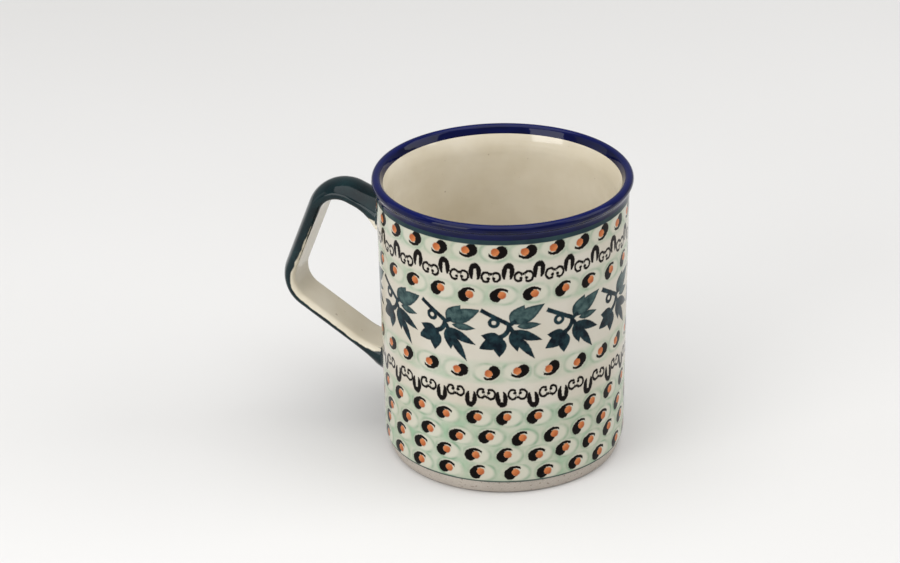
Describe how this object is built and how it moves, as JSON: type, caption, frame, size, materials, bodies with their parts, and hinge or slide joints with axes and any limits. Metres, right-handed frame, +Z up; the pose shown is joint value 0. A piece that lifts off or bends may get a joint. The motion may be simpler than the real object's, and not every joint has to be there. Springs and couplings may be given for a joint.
{
  "type": "stoneware mug",
  "caption": "Straight-sided stoneware mug with a rolled rim, a bent strap handle and a stamped folk pattern under clear glaze.",
  "frame": {"origin": "centre of the foot ring's resting face, on the cup's axis", "axes": "+Z up the cup's axis to the rim, -X towards the handle, Y across the handle"},
  "size_m": [0.1184, 0.0836, 0.096],
  "materials": {
    "bare_clay": "matt grey-beige fired stoneware, bare on the foot",
    "handle_clay": "fired stoneware, hidden under glaze",
    "joint_slip": "luting slip, wiped smooth and glazed over in dark green",
    "cream_glaze": "glossy warm cream glaze",
    "cobalt_glaze": "glossy deep cobalt blue glaze",
    "stamped_glaze": "glossy clear glaze over pale ground with stamped dots, scrolls and leaf sprigs",
    "dark_green_glaze": "glossy very dark blue-green glaze",
    "clear_glaze": "glossy clear glaze over pale clay"
  },
  "bodies": {
    "root": {"cup_body": "bare_clay", "handle": "handle_clay", "upper_slip_joint": "joint_slip", "lower_slip_joint": "joint_slip", "lining_glaze": "cream_glaze", "rim_glaze": "cobalt_glaze", "wall_glaze": "stamped_glaze", "handle_outer_glaze": "dark_green_glaze", "handle_inner_glaze": "cream_glaze", "recess_glaze": "clear_glaze"}
  },
  "joints": []
}
